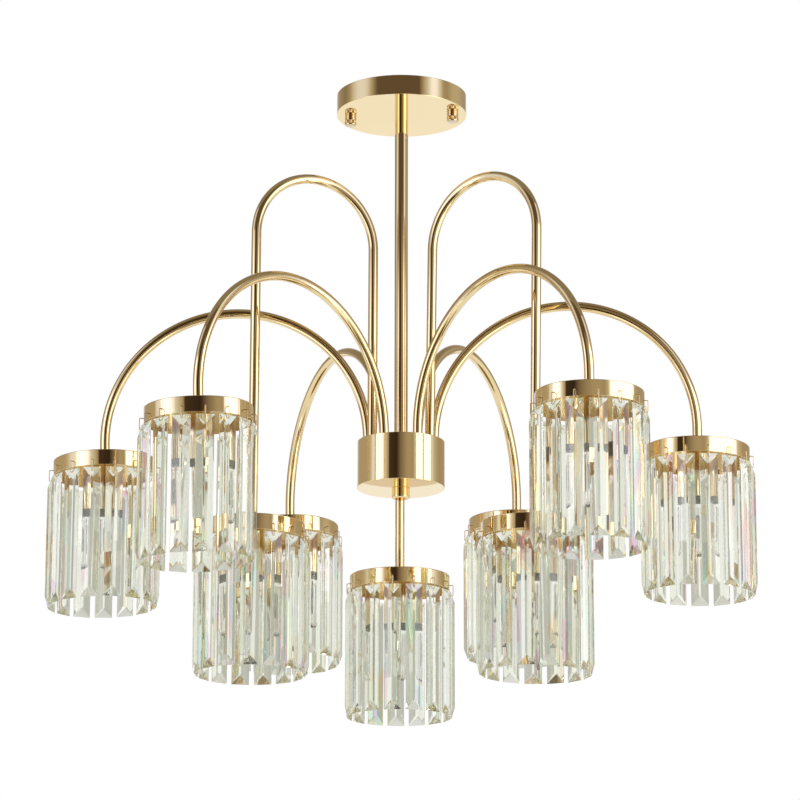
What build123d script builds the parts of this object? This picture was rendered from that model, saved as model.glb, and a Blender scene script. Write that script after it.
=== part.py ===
"""Multi-arm crystal chandelier.  Millimetres, +Z up, ceiling plane at z = 0 on the rod axis."""
import os
from math import cos, radians, sin

from build123d import *

os.makedirs("parts", exist_ok=True)

# ---------------------------------------------------------------- clearances
SEAT = 0.0              # faces that rest on each other
BORE_GAP = 0.3          # radial room round bolts, studs and bulb bases
THREAD_GAP = 0.1        # radial room of a threaded pair

# ---------------------------------------------------------------- ceiling end
CANOPY_R = 68.9
CANOPY_H = 21.2
SHEET = 1.0             # wall of canopy and shade caps
CANOPY_EDGE_R = 0.8
BRACKET_W = 20.0
BRACKET_T = 1.8
BRACKET_STEP = 4.0      # the ends step down to leave room for stud heads
BRACKET_STEP_AT = 40.0  # half length of the middle run lying on the ceiling
BRACKET_TURN = -7.0     # bracket and thumb nuts are turned about the rod
SCREW_PCD = 70.0
SCREW_HOLE_R = 2.5
LEAD_HOLE_R = 6.0
STUD_AT = 54.6          # distance of the studs from the rod axis
STUD_MARGIN = 7.0       # bracket beyond the studs
STUD_R = 2.0
STUD_HEAD_R = 3.5
STUD_HEAD_H = 2.6
STUD_UP = 2.0           # stud tip above the underside of its nut
STUD_TIP_GAP = 0.8
NUT_R = 6.1
NUT_H = 9.5
NUT_EDGE_R = 1.5
NUT_RING_H = 1.5        # two plain rings above the fluted grip
NUT_GROOVE_H = 0.5
NUT_GROOVE_T = 0.5
NUT_FLUTES = 24
NUT_FLUTE_R = 0.35
BLOCK_X = 36.0
BLOCK_Y = 20.0
BLOCK_H = 16.0
BLOCK_AT = 22.0         # near face of the terminal block, from the rod axis

# ---------------------------------------------------------------- rod and hub
ROD_R = 7.0
ROD_BORE_R = 6.0
ROD_PLUG = 14.0         # threaded length at both ends of the rod
NIPPLE_R = 5.0
NIPPLE_BORE_R = 3.25
NIPPLE_UP = 8.2         # nipple above the canopy floor underside
WASHER_R = 10.0
WASHER_T = 1.2
JAM_AF = 17.0
JAM_T = 5.0
HUB_TOP = -380.0
HUB_H = 49.1
HUB_R = 45.4
HUB_WALL = 1.2
PLATE_T = 2.0
PLATE_GAP = 0.2
FINIAL_R = 9.3
FINIAL_H = 11.2
FINIAL_EDGE = 2.0
FINIAL_TOP_EDGE = 0.5
FINIAL_BORE = 7.5
RING_R = 21.0           # junction ring standing in the hub
RING_BORE_R = 11.0
RING_H = 18.0
WINDOW_W = 5.8          # side window of the hub stud
WINDOW_DOWN = 12.0      # its top below the hub plate
WINDOW_H = 14.0
WINDOW_SILL = 1.5       # lead above the foot of the window

# ---------------------------------------------------------------- arms
TUBE_R = 5.0
TUBE_BORE_R = 4.2
ENTRY_R = 34.4          # circle on the hub plate where the arms stand
OUTER_BEND = 136.7
OUTER_SPRING = 6.8      # arch springs this far above the hub plate
OUTER_CAP = -11.8       # cap top, measured along the arm from the hub plate
INNER_BEND = 67.7
INNER_SPRING = 203.0
INNER_CAP = -106.6
ARM_NIPPLE_R = 4.1
ARM_NIPPLE_BORE_R = 2.75
ARM_NIPPLE_UP = 6.4
ARM_NIPPLE_DOWN = 9.5
ARM_NUT_AF = 12.0
ARM_NUT_T = 4.0

# (stands at, points to, lean below level, inner arm, turn of its crystals), degrees
ARMS = [
    (0.0, 350.8, 0.95, False, 13.2),
    (60.0, 65.9, 1.49, False, 8.0),
    (90.0, 90.4, -0.71, True, 22.1),
    (120.0, 112.8, 2.91, False, 6.9),
    (180.0, 179.1, 1.71, False, 20.9),
    (210.0, 207.5, -0.14, True, 7.0),
    (240.0, 228.5, 2.71, False, 15.9),
    (300.0, 307.4, 0.24, False, 11.8),
    (330.0, 321.6, 1.03, True, 18.3),
]

# ---------------------------------------------------------------- shades
CAP_R = 53.6
CAP_H = 16.0
CAP_EDGE_R = 0.95
CRYSTALS = 15
HOLE_R = 0.9
HOLE_DOWN = 10.0
SLEEVE_R = 12.0
SLEEVE_WALL = 1.0
SLEEVE_TOP_T = 2.0
SLEEVE_END = 53.0       # distances down from the cap top
HOLDER_TOP = 24.0
HOLDER_R = 10.7
HOLDER_RING_R = 11.5
HOLDER_END = 57.7
POCKET_TOP = 42.0
BULB_R = 7.8
BULB_BASE_R = 7.6
BULB_END = 114.0
BULB_TIP_R = 6.2
PIN_R = 0.6
PIN_H = 5.0
PIN_PITCH = 9.0
CAP_NIPPLE_UP = 11.0
CAP_NIPPLE_DOWN = 10.0

# ---------------------------------------------------------------- crystals and links
CRYSTAL_W = 18.0
CRYSTAL_T = 8.0
CRYSTAL_EDGE = 1.2      # flat left on the side edges
CRYSTAL_TIP = 0.6       # thickness left at the cut ends
CRYSTAL_CUT = 10.5      # height of the sloped cuts
CRYSTAL_L = 135.0
CRYSTAL_AT = 1.9        # mid plane of a crystal, outward from the rim hole
CRYSTAL_DROP = 9.0      # crystal top below the rim hole
EYE_DOWN = 3.5          # eye below the crystal top
EYE_R = 0.8
WIRE_R = 0.45
LINK_IN = -1.6          # inner and outer legs of a link, from the rim hole
LINK_OUT = 4.35
LINK_BEND = 1.2
LINK_REST = 0.35        # a link hangs this far below the centre of its rim hole
EYE_REST = 0.3          # and the eye this far below the link's lower bar

# ---------------------------------------------------------------- leads
ROD_LEAD_R = 2.5
ARM_LEAD_R = 2.2
LEAD_BEND = 5.0
BLOCK_ENTRY_Z = -7.5
RING_ENTRY = 6.1        # arm leads enter this far below the top of the junction ring
RING_LEAD_AT = 16.0

UP = Vector(0, 0, 1)
QUARTER_TURN = 90


def heading(angle):
    """Level unit vector at an angle from +X."""
    return Vector(cos(radians(angle)), sin(radians(angle)), 0)


def arm_side(arm):
    """Plane of an arm's arch: x outward along its lean, y up, origin on the hub plate."""
    stand, point, lean, _, _ = arm
    out = heading(point) * cos(radians(lean)) - UP * sin(radians(lean))
    across = heading(point - QUARTER_TURN)
    return Plane(origin=heading(stand) * ENTRY_R + UP * HUB_TOP, x_dir=out, z_dir=across)


def arch(arm):
    """Bend radius, spring height and cap height of an arm."""
    if arm[3]:
        return INNER_BEND, INNER_SPRING, INNER_CAP
    return OUTER_BEND, OUTER_SPRING, OUTER_CAP


def stem_plane(arm, height):
    """Plane square to the stem over the hub."""
    side = arm_side(arm)
    return Plane(origin=side.from_local_coords((0, height, 0)), x_dir=side.x_dir, z_dir=side.y_dir)


def cap_plane(arm, down=0.0):
    """Plane square to the drop of an arm, a distance below its cap top."""
    side = arm_side(arm)
    bend, _, cap = arch(arm)
    at = side.from_local_coords((2 * bend, cap - down, 0))
    return Plane(origin=at, x_dir=side.x_dir, z_dir=side.y_dir)


def rim_directions(arm):
    """Level heading and matching direction in the leaned cap for every crystal."""
    side = arm_side(arm)
    point, phase = arm[1], arm[4]
    pairs = []
    for k in range(CRYSTALS):
        angle = phase + k * 360 / CRYSTALS
        turn = radians(angle - point)
        leaned = side.x_dir * cos(turn) - side.z_dir * sin(turn)
        pairs.append((heading(angle), leaned))
    return pairs


def hang_places(arm):
    """Upright frames at the rim holes, x outward: links and crystals hang plumb in them."""
    level = cap_plane(arm, HOLE_DOWN)
    places = []
    for out, leaned in rim_directions(arm):
        at = level.origin + leaned * (CAP_R - SHEET / 2)
        places.append(Plane(origin=at, x_dir=out, z_dir=UP).location)
    return places


def pipe(plane, outer, inner, length):
    """Round tube or rod standing on a plane, added to the open part."""
    with BuildSketch(plane) as section:
        Circle(outer)
        if inner > 0:
            Circle(inner, mode=Mode.SUBTRACT)
    extrude(section.sketch, amount=length)


def hex_nut(plane, across_flats, bore, thick):
    """Hexagon nut standing on a plane, added to the open part."""
    with BuildSketch(plane) as section:
        RegularPolygon(radius=across_flats / 2, side_count=6, major_radius=False)
        Circle(bore, mode=Mode.SUBTRACT)
    extrude(section.sketch, amount=thick)


def bend_points(before, corner, after, radius):
    """Start, middle and end of the arc that rounds a corner of a route."""
    to_start = (before - corner).normalized()
    to_end = (after - corner).normalized()
    half = radians(to_start.get_angle(to_end)) / 2
    reach = radius / (sin(half) / cos(half))
    middle = (to_start + to_end).normalized()
    centre = corner + middle * (radius / sin(half))
    return corner + to_start * reach, centre - middle * radius, corner + to_end * reach


# ================================================================ ceiling end
turned = Plane.XY.rotated((0, 0, BRACKET_TURN))
bracket_side = Plane(origin=(0, 0, 0), x_dir=turned.x_dir, z_dir=-turned.y_dir)
BRACKET_END = STUD_AT + STUD_MARGIN

with BuildPart() as ceiling_bracket:
    with BuildSketch(bracket_side):
        with BuildLine():
            Polyline(
                (-BRACKET_END, -BRACKET_STEP - BRACKET_T),
                (-BRACKET_STEP_AT, -BRACKET_STEP - BRACKET_T),
                (-BRACKET_STEP_AT + BRACKET_STEP, -BRACKET_T),
                (BRACKET_STEP_AT - BRACKET_STEP, -BRACKET_T),
                (BRACKET_STEP_AT, -BRACKET_STEP - BRACKET_T),
                (BRACKET_END, -BRACKET_STEP - BRACKET_T),
                (BRACKET_END, -BRACKET_STEP),
                (BRACKET_STEP_AT + BRACKET_T / 2, -BRACKET_STEP),
                (BRACKET_STEP_AT - BRACKET_STEP + BRACKET_T / 2, 0),
                (-BRACKET_STEP_AT + BRACKET_STEP - BRACKET_T / 2, 0),
                (-BRACKET_STEP_AT - BRACKET_T / 2, -BRACKET_STEP),
                (-BRACKET_END, -BRACKET_STEP),
                close=True,
            )
        make_face()
    extrude(amount=BRACKET_W / 2, both=True)
    with BuildSketch(turned.offset(-BRACKET_T)):
        with Locations((-SCREW_PCD / 2, 0), (SCREW_PCD / 2, 0)):
            Circle(SCREW_HOLE_R)
        Circle(LEAD_HOLE_R)
    extrude(amount=BRACKET_T, mode=Mode.SUBTRACT)
    with BuildSketch(turned.offset(-BRACKET_STEP - BRACKET_T)):
        with Locations((-STUD_AT, 0), (STUD_AT, 0)):
            Circle(STUD_R + BORE_GAP)
    extrude(amount=BRACKET_T, mode=Mode.SUBTRACT)
ceiling_bracket.part.label = "ceiling_bracket"
export_step(ceiling_bracket.part, "parts/ceiling_bracket.step")

STUD_END = -CANOPY_H - NUT_H + STUD_UP
with BuildPart() as bracket_studs:
    for side in (-STUD_AT, STUD_AT):
        with BuildSketch(turned.offset(STUD_END)):
            with Locations((side, 0)):
                Circle(STUD_R)
        extrude(amount=-BRACKET_STEP - STUD_END)
        with BuildSketch(turned.offset(-BRACKET_STEP)):
            with Locations((side, 0)):
                Circle(STUD_HEAD_R)
        extrude(amount=STUD_HEAD_H)
bracket_studs.part.label = "bracket_studs"
export_step(bracket_studs.part, "parts/bracket_studs.step")

with BuildPart() as canopy:
    with BuildSketch(Plane.XY.offset(-CANOPY_H)):
        Circle(CANOPY_R)
    extrude(amount=CANOPY_H)
    fillet(canopy.edges().filter_by(GeomType.CIRCLE).sort_by(Axis.Z)[0], CANOPY_EDGE_R)
    with BuildSketch(Plane.XY.offset(-CANOPY_H + SHEET)):
        Circle(CANOPY_R - SHEET)
    extrude(amount=CANOPY_H - SHEET, mode=Mode.SUBTRACT)
    with BuildSketch(turned.offset(-CANOPY_H)):
        Circle(NIPPLE_R + BORE_GAP)
        with Locations((-STUD_AT, 0), (STUD_AT, 0)):
            Circle(STUD_R + BORE_GAP)
    extrude(amount=SHEET, mode=Mode.SUBTRACT)
canopy.part.label = "canopy"
export_step(canopy.part, "parts/canopy.step")

with BuildPart() as terminal_block:
    with BuildSketch(Plane.XY.offset(-CANOPY_H + SHEET)):
        with Locations((0, BLOCK_AT + BLOCK_Y / 2)):
            Rectangle(BLOCK_X, BLOCK_Y)
    extrude(amount=BLOCK_H)
    with BuildSketch(Plane.XY.offset(-CANOPY_H + SHEET + BLOCK_H)):
        with Locations((0, BLOCK_AT + BLOCK_Y / 2)):
            with GridLocations(BLOCK_X / 3, BLOCK_Y / 2, 3, 2):
                Circle(2.2)
    extrude(amount=-4.0, mode=Mode.SUBTRACT)
terminal_block.part.label = "terminal_block"
export_step(terminal_block.part, "parts/terminal_block.step")


def thumb_nut(name, side):
    """Ringed and fluted nut that turns on a bracket stud and clamps the canopy."""
    axis_plane = Plane(origin=turned.from_local_coords((side, 0, 0)), z_dir=(0, 0, 1))
    low = -CANOPY_H - NUT_H
    grip_top = -CANOPY_H - 2 * (NUT_RING_H + NUT_GROOVE_H)
    grip_low = low + NUT_EDGE_R
    with BuildPart() as nut:
        with BuildSketch(axis_plane.offset(low)):
            Circle(NUT_R)
        extrude(amount=NUT_H)
        fillet(nut.edges().filter_by(GeomType.CIRCLE).sort_by(Axis.Z)[0], NUT_EDGE_R)
        for ring in (1, 2):
            groove_top = -CANOPY_H - ring * NUT_RING_H - (ring - 1) * NUT_GROOVE_H
            with BuildSketch(axis_plane.offset(groove_top)):
                Circle(NUT_R + NUT_GROOVE_T)
                Circle(NUT_R - NUT_GROOVE_T, mode=Mode.SUBTRACT)
            extrude(amount=-NUT_GROOVE_H, mode=Mode.SUBTRACT)
        with BuildSketch(axis_plane.offset(grip_low)):
            with PolarLocations(NUT_R, NUT_FLUTES):
                Circle(NUT_FLUTE_R)
        extrude(amount=grip_top - grip_low, mode=Mode.SUBTRACT)
        with BuildSketch(axis_plane.offset(STUD_END - STUD_TIP_GAP)):
            Circle(STUD_R + THREAD_GAP)
        extrude(amount=NUT_H, mode=Mode.SUBTRACT)
    nut.part.label = name
    export_step(nut.part, f"parts/{name}.step")


thumb_nut("thumb_nut_1", -STUD_AT)
thumb_nut("thumb_nut_2", STUD_AT)

# ================================================================ rod and hub
with BuildPart() as down_rod:
    pipe(Plane.XY.offset(HUB_TOP), ROD_R, ROD_BORE_R, -CANOPY_H - HUB_TOP)
    pipe(Plane.XY.offset(HUB_TOP), ROD_BORE_R, NIPPLE_R + THREAD_GAP, ROD_PLUG)
    pipe(Plane.XY.offset(-CANOPY_H - ROD_PLUG), ROD_BORE_R, NIPPLE_R + THREAD_GAP, ROD_PLUG)
down_rod.part.label = "down_rod"
export_step(down_rod.part, "parts/down_rod.step")

with BuildPart() as canopy_nipple:
    bottom = -CANOPY_H - ROD_PLUG + 1.0
    pipe(Plane.XY.offset(bottom), NIPPLE_R, NIPPLE_BORE_R, -CANOPY_H + NIPPLE_UP - bottom)
canopy_nipple.part.label = "canopy_nipple"
export_step(canopy_nipple.part, "parts/canopy_nipple.step")

with BuildPart() as rod_nuts:
    floor = Plane.XY.offset(-CANOPY_H + SHEET)
    pipe(floor, WASHER_R, NIPPLE_R + BORE_GAP, WASHER_T)
    hex_nut(floor.offset(WASHER_T), JAM_AF, NIPPLE_R + THREAD_GAP, JAM_T)
    under_plate = Plane.XY.offset(HUB_TOP - PLATE_T - JAM_T)
    hex_nut(under_plate, JAM_AF, NIPPLE_R + THREAD_GAP, JAM_T)
    hub_floor = Plane.XY.offset(HUB_TOP - HUB_H + HUB_WALL)
    hex_nut(hub_floor, JAM_AF, NIPPLE_R + THREAD_GAP, JAM_T)
rod_nuts.part.label = "rod_nuts"
export_step(rod_nuts.part, "parts/rod_nuts.step")

with BuildPart() as hub_stud:
    stud_low = HUB_TOP - HUB_H - FINIAL_BORE + 1.0
    stud_high = HUB_TOP + ROD_PLUG - 1.0
    window_low = HUB_TOP - WINDOW_DOWN - WINDOW_H
    pipe(Plane.XY.offset(stud_low), NIPPLE_R, NIPPLE_BORE_R, stud_high - stud_low)
    with BuildSketch(Plane.XY.offset(window_low)):
        with Locations((NIPPLE_R, 0)):
            Rectangle(2 * NIPPLE_R, WINDOW_W)
    extrude(amount=WINDOW_H, mode=Mode.SUBTRACT)
hub_stud.part.label = "hub_stud"
export_step(hub_stud.part, "parts/hub_stud.step")

with BuildPart() as hub_plate:
    with BuildSketch(Plane.XY.offset(HUB_TOP)):
        Circle(HUB_R - HUB_WALL - PLATE_GAP)
        Circle(NIPPLE_R + BORE_GAP, mode=Mode.SUBTRACT)
        for arm in ARMS:
            hole = heading(arm[0]) * ENTRY_R
            with Locations((hole.X, hole.Y)):
                Circle(ARM_NIPPLE_R + BORE_GAP, mode=Mode.SUBTRACT)
    extrude(amount=-PLATE_T)
hub_plate.part.label = "hub_plate"
export_step(hub_plate.part, "parts/hub_plate.step")

with BuildPart() as hub_cup:
    with BuildSketch(Plane.XY.offset(HUB_TOP - HUB_H)):
        Circle(HUB_R)
    extrude(amount=HUB_H)
    fillet(hub_cup.edges().filter_by(GeomType.CIRCLE).sort_by(Axis.Z)[0], 0.6)
    with BuildSketch(Plane.XY.offset(HUB_TOP)):
        Circle(HUB_R - HUB_WALL)
    extrude(amount=-HUB_H + HUB_WALL, mode=Mode.SUBTRACT)
    with BuildSketch(Plane.XY.offset(HUB_TOP - HUB_H)):
        Circle(NIPPLE_R + BORE_GAP)
    extrude(amount=HUB_WALL, mode=Mode.SUBTRACT)
hub_cup.part.label = "hub_cup"
export_step(hub_cup.part, "parts/hub_cup.step")

with BuildPart() as finial:
    with BuildSketch(Plane.XY.offset(HUB_TOP - HUB_H - FINIAL_H)):
        Circle(FINIAL_R)
    extrude(amount=FINIAL_H)
    fillet(finial.edges().filter_by(GeomType.CIRCLE).sort_by(Axis.Z)[0], FINIAL_EDGE)
    fillet(finial.edges().filter_by(GeomType.CIRCLE).sort_by(Axis.Z)[-1], FINIAL_TOP_EDGE)
    with BuildSketch(Plane.XY.offset(HUB_TOP - HUB_H)):
        Circle(NIPPLE_R + THREAD_GAP)
    extrude(amount=-FINIAL_BORE, mode=Mode.SUBTRACT)
finial.part.label = "finial"
export_step(finial.part, "parts/finial.step")

with BuildPart() as junction_ring:
    pipe(Plane.XY.offset(HUB_TOP - HUB_H + HUB_WALL), RING_R, RING_BORE_R, RING_H)
junction_ring.part.label = "junction_ring"
export_step(junction_ring.part, "parts/junction_ring.step")

# ================================================================ arms
for number, arm in enumerate(ARMS, start=1):
    bend, spring, cap = arch(arm)
    side = arm_side(arm)
    with BuildPart() as arm_tube:
        with BuildLine(side) as centre_line:
            Line((0, -1), (0, spring))
            ThreePointArc((0, spring), (bend, spring + bend), (2 * bend, spring))
            Line((2 * bend, spring), (2 * bend, cap))
        with BuildSketch(stem_plane(arm, -1)):
            Circle(TUBE_R)
            Circle(TUBE_BORE_R, mode=Mode.SUBTRACT)
        sweep(path=centre_line.line)
        stand = heading(arm[0]) * ENTRY_R
        with BuildSketch(Plane.XY.offset(HUB_TOP)):
            with Locations((stand.X, stand.Y)):
                Circle(2 * TUBE_R)
        extrude(amount=-2, mode=Mode.SUBTRACT)
    arm_tube.part.label = f"arm_{number}"
    export_step(arm_tube.part, f"parts/arm_{number}.step")

with BuildPart() as arm_nipples:
    for arm in ARMS:
        low = stem_plane(arm, -ARM_NIPPLE_DOWN)
        pipe(low, ARM_NIPPLE_R, ARM_NIPPLE_BORE_R, ARM_NIPPLE_UP + ARM_NIPPLE_DOWN)
arm_nipples.part.label = "arm_nipples"
export_step(arm_nipples.part, "parts/arm_nipples.step")

with BuildPart() as arm_nuts:
    for arm in ARMS:
        middle = stem_plane(arm, -PLATE_T - ARM_NUT_T / 2).origin
        under = Vector(middle.X, middle.Y, HUB_TOP - PLATE_T - ARM_NUT_T)
        level = Plane(origin=under, x_dir=heading(arm[0]), z_dir=UP)
        hex_nut(level, ARM_NUT_AF, ARM_NIPPLE_R + BORE_GAP, ARM_NUT_T)
arm_nuts.part.label = "arm_nuts"
export_step(arm_nuts.part, "parts/arm_nuts.step")

# ================================================================ shades
for number, arm in enumerate(ARMS, start=1):
    with BuildPart() as cap_shell:
        with BuildSketch(cap_plane(arm)):
            Circle(CAP_R)
        extrude(amount=-CAP_H)
        rim_axis = Axis(cap_plane(arm).origin, cap_plane(arm).z_dir)
        fillet(cap_shell.edges().filter_by(GeomType.CIRCLE).sort_by(rim_axis)[-1], CAP_EDGE_R)
        with BuildSketch(cap_plane(arm, SHEET)):
            Circle(CAP_R - SHEET)
        extrude(amount=-CAP_H, mode=Mode.SUBTRACT)
        with BuildSketch(cap_plane(arm)):
            Circle(ARM_NIPPLE_R + BORE_GAP)
        extrude(amount=-SHEET, mode=Mode.SUBTRACT)
        rim_centre = cap_plane(arm, HOLE_DOWN).origin
        for _, leaned in rim_directions(arm):
            with BuildSketch(Plane(origin=rim_centre, x_dir=cap_plane(arm).z_dir, z_dir=leaned)):
                Circle(HOLE_R)
            extrude(amount=CAP_R + 1, mode=Mode.SUBTRACT)
    cap_shell.part.label = f"cap_{number}"
    export_step(cap_shell.part, f"parts/cap_{number}.step")

with BuildPart() as cap_nipples:
    for arm in ARMS:
        low = cap_plane(arm, CAP_NIPPLE_DOWN)
        pipe(low, ARM_NIPPLE_R, ARM_NIPPLE_BORE_R, CAP_NIPPLE_UP + CAP_NIPPLE_DOWN)
cap_nipples.part.label = "cap_nipples"
export_step(cap_nipples.part, "parts/cap_nipples.step")

with BuildPart() as socket_sleeves:
    for arm in ARMS:
        pipe(cap_plane(arm, SLEEVE_END), SLEEVE_R, SLEEVE_R - SLEEVE_WALL, SLEEVE_END - SHEET)
        top = cap_plane(arm, SHEET + SLEEVE_TOP_T)
        pipe(top, SLEEVE_R - SLEEVE_WALL, ARM_NIPPLE_R + BORE_GAP, SLEEVE_TOP_T)
socket_sleeves.part.label = "socket_sleeves"
export_step(socket_sleeves.part, "parts/socket_sleeves.step")

with BuildPart() as sleeve_nuts:
    for arm in ARMS:
        under = cap_plane(arm, SHEET + SLEEVE_TOP_T + ARM_NUT_T)
        hex_nut(under, ARM_NUT_AF, ARM_NIPPLE_R + THREAD_GAP, ARM_NUT_T)
sleeve_nuts.part.label = "sleeve_nuts"
export_step(sleeve_nuts.part, "parts/sleeve_nuts.step")

with BuildPart() as lamp_holders:
    for arm in ARMS:
        pipe(cap_plane(arm, SLEEVE_END), HOLDER_R, 0, SLEEVE_END - HOLDER_TOP)
        pipe(cap_plane(arm, HOLDER_END), HOLDER_RING_R, 0, HOLDER_END - SLEEVE_END)
        with BuildSketch(cap_plane(arm, HOLDER_END)):
            Circle(BULB_BASE_R + BORE_GAP)
        extrude(amount=HOLDER_END - POCKET_TOP, mode=Mode.SUBTRACT)
        with BuildSketch(cap_plane(arm, POCKET_TOP)):
            with Locations((-PIN_PITCH / 2, 0), (PIN_PITCH / 2, 0)):
                Circle(PIN_R + BORE_GAP)
        extrude(amount=PIN_H + 1, mode=Mode.SUBTRACT)
lamp_holders.part.label = "lamp_holders"
export_step(lamp_holders.part, "parts/lamp_holders.step")

for number, arm in enumerate(ARMS, start=1):
    with BuildPart() as bulb:
        pipe(cap_plane(arm, BULB_END), BULB_R, 0, BULB_END - HOLDER_END - BORE_GAP)
        bulb_axis = Axis(cap_plane(arm).origin, cap_plane(arm).z_dir)
        fillet(bulb.edges().filter_by(GeomType.CIRCLE).sort_by(bulb_axis)[0], BULB_TIP_R)
        pipe(cap_plane(arm, HOLDER_END + BORE_GAP), BULB_BASE_R, 0, HOLDER_END + BORE_GAP - POCKET_TOP)
        with BuildSketch(cap_plane(arm, POCKET_TOP)):
            with Locations((-PIN_PITCH / 2, 0), (PIN_PITCH / 2, 0)):
                Circle(PIN_R)
        extrude(amount=PIN_H)
    bulb.part.label = f"bulb_{number}"
    export_step(bulb.part, f"parts/bulb_{number}.step")

# ================================================================ crystals
# One crystal in its own frame: origin at the rim hole, x outward, z up.
with BuildPart() as crystal:
    with BuildSketch(Plane.XY.offset(-CRYSTAL_DROP)):
        with BuildLine():
            Polyline(
                (CRYSTAL_AT + CRYSTAL_T / 2, 0),
                (CRYSTAL_AT + CRYSTAL_EDGE / 2, CRYSTAL_W / 2),
                (CRYSTAL_AT - CRYSTAL_EDGE / 2, CRYSTAL_W / 2),
                (CRYSTAL_AT - CRYSTAL_T / 2, 0),
                (CRYSTAL_AT - CRYSTAL_EDGE / 2, -CRYSTAL_W / 2),
                (CRYSTAL_AT + CRYSTAL_EDGE / 2, -CRYSTAL_W / 2),
                close=True,
            )
        make_face()
    extrude(amount=-CRYSTAL_L)
    top, low = -CRYSTAL_DROP, -CRYSTAL_DROP - CRYSTAL_L
    with BuildSketch(Plane.XZ):
        with BuildLine():
            Polyline(
                (CRYSTAL_AT - CRYSTAL_TIP / 2, top),
                (CRYSTAL_AT + CRYSTAL_TIP / 2, top),
                (CRYSTAL_AT + CRYSTAL_T / 2, top - CRYSTAL_CUT),
                (CRYSTAL_AT + CRYSTAL_T / 2, low + CRYSTAL_CUT),
                (CRYSTAL_AT + CRYSTAL_TIP / 2, low),
                (CRYSTAL_AT - CRYSTAL_TIP / 2, low),
                (CRYSTAL_AT - CRYSTAL_T / 2, low + CRYSTAL_CUT),
                (CRYSTAL_AT - CRYSTAL_T / 2, top - CRYSTAL_CUT),
                close=True,
            )
        make_face()
    extrude(amount=CRYSTAL_W, both=True, mode=Mode.INTERSECT)
    with BuildSketch(Plane.YZ.offset(-CRYSTAL_T)):
        with Locations((0, top - EYE_DOWN)):
            Circle(EYE_R)
    extrude(amount=3 * CRYSTAL_T, mode=Mode.SUBTRACT)

for number, arm in enumerate(ARMS, start=1):
    with BuildPart() as crystals:
        with Locations(*hang_places(arm)):
            add(crystal.part)
    crystals.part.label = f"crystals_{number}"
    export_step(crystals.part, f"parts/crystals_{number}.step")

# One closed wire link through the rim hole and the crystal's eye.
LINK_HIGH = -LINK_REST
LINK_LOW = -CRYSTAL_DROP - EYE_DOWN + EYE_REST
LINK_CORNERS = [
    Vector(LINK_IN, 0, LINK_HIGH),
    Vector(LINK_OUT, 0, LINK_HIGH),
    Vector(LINK_OUT, 0, LINK_LOW),
    Vector(LINK_IN, 0, LINK_LOW),
]
LINK_BENDS = []
for k in range(4):
    LINK_BENDS.append(
        bend_points(LINK_CORNERS[k - 1], LINK_CORNERS[k], LINK_CORNERS[(k + 1) % 4], LINK_BEND)
    )
with BuildPart() as link:
    with BuildLine() as wire_path:
        for k in range(4):
            Line(LINK_BENDS[k - 1][2], LINK_BENDS[k][0])
            ThreePointArc(*LINK_BENDS[k])
    with BuildSketch(Plane(origin=wire_path.line @ 0, z_dir=wire_path.line % 0)):
        Circle(WIRE_R)
    sweep(path=wire_path.line)

with BuildPart() as links:
    for arm in ARMS:
        with Locations(*hang_places(arm)):
            add(link.part)
links.part.label = "links"
export_step(links.part, "parts/links.step")

# ================================================================ leads
RING_TOP = HUB_TOP - HUB_H + HUB_WALL + RING_H
with BuildPart() as rod_lead:
    top_end = Vector(0, BLOCK_AT, BLOCK_ENTRY_Z)
    top_corner = Vector(0, 0, BLOCK_ENTRY_Z)
    out_z = window_low + ROD_LEAD_R + WINDOW_SILL
    low_corner = Vector(0, 0, out_z)
    drop_corner = Vector(RING_LEAD_AT, 0, out_z)
    low_end = Vector(RING_LEAD_AT, 0, RING_TOP)
    first = bend_points(top_end, top_corner, low_corner, LEAD_BEND)
    second = bend_points(top_corner, low_corner, drop_corner, LEAD_BEND)
    third = bend_points(low_corner, drop_corner, low_end, LEAD_BEND)
    with BuildLine() as rod_route:
        Line(top_end, first[0])
        ThreePointArc(*first)
        Line(first[2], second[0])
        ThreePointArc(*second)
        Line(second[2], third[0])
        ThreePointArc(*third)
        Line(third[2], low_end)
    with BuildSketch(Plane(origin=top_end, z_dir=(0, -1, 0))):
        Circle(ROD_LEAD_R)
    sweep(path=rod_route.line)
rod_lead.part.label = "rod_lead"
export_step(rod_lead.part, "parts/rod_lead.step")

with BuildPart() as arm_leads:
    for arm in ARMS:
        bend, spring, cap = arch(arm)
        side = arm_side(arm)
        corner = side.from_local_coords((0, RING_TOP - RING_ENTRY - HUB_TOP, 0))
        inward = Vector(corner.X, corner.Y, 0).normalized()
        start = inward * (RING_R + SEAT + 0.15) + UP * corner.Z
        spring_at = side.from_local_coords((0, spring, 0))
        crown_at = side.from_local_coords((bend, spring + bend, 0))
        drop_at = side.from_local_coords((2 * bend, spring, 0))
        arc = bend_points(start, corner, spring_at, LEAD_BEND)
        with BuildLine() as arm_route:
            Line(start, arc[0])
            ThreePointArc(*arc)
            Line(arc[2], spring_at)
            ThreePointArc(spring_at, crown_at, drop_at)
            Line(drop_at, cap_plane(arm, HOLDER_TOP).origin)
        with BuildSketch(Plane(origin=start, z_dir=inward)):
            Circle(ARM_LEAD_R)
        sweep(path=arm_route.line)
arm_leads.part.label = "arm_leads"
export_step(arm_leads.part, "parts/arm_leads.step")
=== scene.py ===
"""Looks of a multi-arm crystal chandelier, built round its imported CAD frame.  Metres."""
from math import cos, pi, radians, sin

import bmesh
import bpy
from mathutils import Matrix, Vector


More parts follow.
